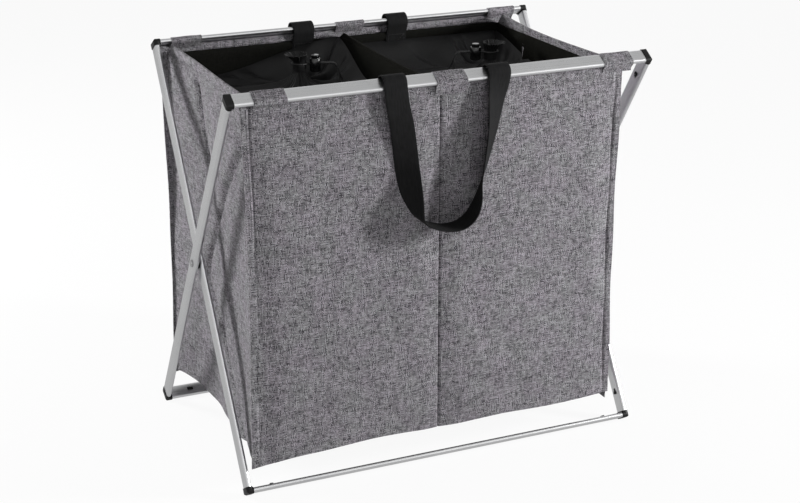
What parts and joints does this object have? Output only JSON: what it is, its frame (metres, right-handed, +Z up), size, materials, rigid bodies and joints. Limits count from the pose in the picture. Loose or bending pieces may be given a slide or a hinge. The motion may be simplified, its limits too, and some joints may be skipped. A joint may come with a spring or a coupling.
{
  "type": "laundry hamper",
  "caption": "Folding laundry hamper: a divided cloth bag with drawstring tops and strap handles hangs from a crossed frame of flat-oval tubes.",
  "frame": {"origin": "on the floor under the middle of the hamper", "axes": "+X along the top rails to the right, -Y to the front where the front handle hangs, +Z up"},
  "size_m": [0.6108, 0.4284, 0.5584],
  "materials": {
    "aluminium": "satin anodised",
    "black_plastic": "fine matte moulding",
    "melange_cloth": "grey melange plain weave",
    "lining_cloth": "dull black plain weave",
    "top_cloth": "thin black cloth with a slight sheen",
    "webbing": "black woven webbing",
    "cord": "smooth black cord",
    "gloss_plastic": "polished",
    "steel": "plated"
  },
  "bodies": {
    "bag": {"front_panel": "melange_cloth", "left_side_panel": "melange_cloth", "right_side_panel": "melange_cloth", "bottom_panel": "melange_cloth", "divider_panel": "lining_cloth", "left_bin_lining": "lining_cloth", "right_bin_lining": "lining_cloth", "left_drawstring_skirt": "top_cloth", "right_drawstring_skirt": "top_cloth", "front_hem_band": "melange_cloth", "left_hem_band": "melange_cloth", "right_hem_band": "melange_cloth", "front_loop_left": "melange_cloth", "front_loop_centre": "melange_cloth", "front_loop_right": "melange_cloth", "front_handle_end_left": "webbing", "front_handle_end_right": "webbing"},
    "outer_frame": {"outer_top_rail": "aluminium", "outer_bottom_rail": "aluminium", "outer_leg_left": "aluminium", "outer_leg_right": "aluminium", "outer_corner_top_left": "black_plastic", "outer_corner_top_right": "black_plastic", "outer_corner_bottom_left": "black_plastic", "outer_corner_bottom_right": "black_plastic", "pivot_rivet_left": "steel", "pivot_rivet_right": "steel", "pivot_spacer_left": "black_plastic", "pivot_spacer_right": "black_plastic"},
    "inner_frame": {"inner_top_rail": "aluminium", "inner_bottom_rail": "aluminium", "inner_leg_left": "aluminium", "inner_leg_right": "aluminium", "inner_corner_top_left": "black_plastic", "inner_corner_top_right": "black_plastic", "inner_corner_bottom_left": "black_plastic", "inner_corner_bottom_right": "black_plastic"},
    "rear_hem": {"rear_panel": "melange_cloth", "rear_hem_band": "melange_cloth", "rear_loop_left": "melange_cloth", "rear_loop_centre": "melange_cloth", "rear_loop_right": "melange_cloth", "rear_handle_end_left": "webbing", "rear_handle_end_right": "webbing"},
    "front_handle": {"front_handle": "webbing"},
    "rear_handle": {"rear_handle": "webbing"},
    "left_neck": {"left_drawcord": "cord", "left_cord_loop": "cord"},
    "left_lock": {"left_cord_lock": "gloss_plastic", "left_lock_spring": "steel"},
    "left_button": {"left_lock_button": "gloss_plastic"},
    "right_neck": {"right_drawcord": "cord", "right_cord_loop": "cord"},
    "right_lock": {"right_cord_lock": "gloss_plastic", "right_lock_spring": "steel"},
    "right_button": {"right_lock_button": "gloss_plastic"}
  },
  "joints": [
    {"name": "fold", "type": "hinge", "parent": "outer_frame", "child": "inner_frame", "pos_m": [0, 0, 0.27669], "axis": [1, 0, 0], "range_deg": [0, 57.2], "deforming": ["left_side_panel", "right_side_panel", "bottom_panel", "divider_panel", "left_bin_lining", "right_bin_lining", "left_drawstring_skirt", "right_drawstring_skirt", "left_hem_band", "right_hem_band"]},
    {"name": "front_rail_turn", "type": "hinge", "parent": "bag", "child": "outer_frame", "pos_m": [0, -0.173, 0.54569], "axis": [1, 0, 0], "range_deg": [-28.6, 0]},
    {"name": "rear_rail_turn", "type": "hinge", "parent": "inner_frame", "child": "rear_hem", "pos_m": [0, 0.173, 0.54569], "axis": [1, 0, 0], "range_deg": [-28.6, 0]},
    {"name": "front_handle_swing", "type": "hinge", "parent": "bag", "child": "front_handle", "pos_m": [0, -0.173, 0.54569], "axis": [1, 0, 0], "range_deg": [-165, 0], "deforming": ["front_handle_end_left", "front_handle_end_right"]},
    {"name": "rear_handle_swing", "type": "hinge", "parent": "rear_hem", "child": "rear_handle", "pos_m": [0, 0.173, 0.54569], "axis": [1, 0, 0], "range_deg": [0, 165], "deforming": ["rear_handle_end_left", "rear_handle_end_right"]},
    {"name": "left_neck_travel", "type": "slide", "parent": "bag", "child": "left_neck", "axis": [0, -1, 0], "range_m": [0, 0.23], "deforming": ["left_drawcord", "left_cord_loop"]},
    {"name": "left_lock_slide", "type": "slide", "parent": "left_neck", "child": "left_lock", "axis": [0.9394, -0.3429, 0], "range_m": [0, 0.014]},
    {"name": "left_button_press", "type": "slide", "parent": "left_lock", "child": "left_button", "axis": [0, 0, -1], "range_m": [0, 0.0035], "stiffness_N_per_m": 400, "springref_m": -0.001, "deforming": ["left_lock_spring"]},
    {"name": "right_neck_travel", "type": "slide", "parent": "bag", "child": "right_neck", "axis": [0, -1, 0], "range_m": [0, 0.203], "deforming": ["right_drawcord", "right_cord_loop"]},
    {"name": "right_lock_slide", "type": "slide", "parent": "right_neck", "child": "right_lock", "axis": [-0.9606, 0.2779, 0], "range_m": [0, 0.014]},
    {"name": "right_button_press", "type": "slide", "parent": "right_lock", "child": "right_button", "axis": [0, 0, -1], "range_m": [0, 0.0035], "stiffness_N_per_m": 400, "springref_m": -0.001, "deforming": ["right_lock_spring"]}
  ],
  "couplings": [
    {"joint": "front_rail_turn", "follows": "fold", "ratio": -0.5},
    {"joint": "rear_rail_turn", "follows": "fold", "ratio": -0.5},
    {"joint": "left_neck_travel", "follows": "fold", "m_per_rad": 0.2303},
    {"joint": "right_neck_travel", "follows": "fold", "m_per_rad": 0.2033}
  ]
}
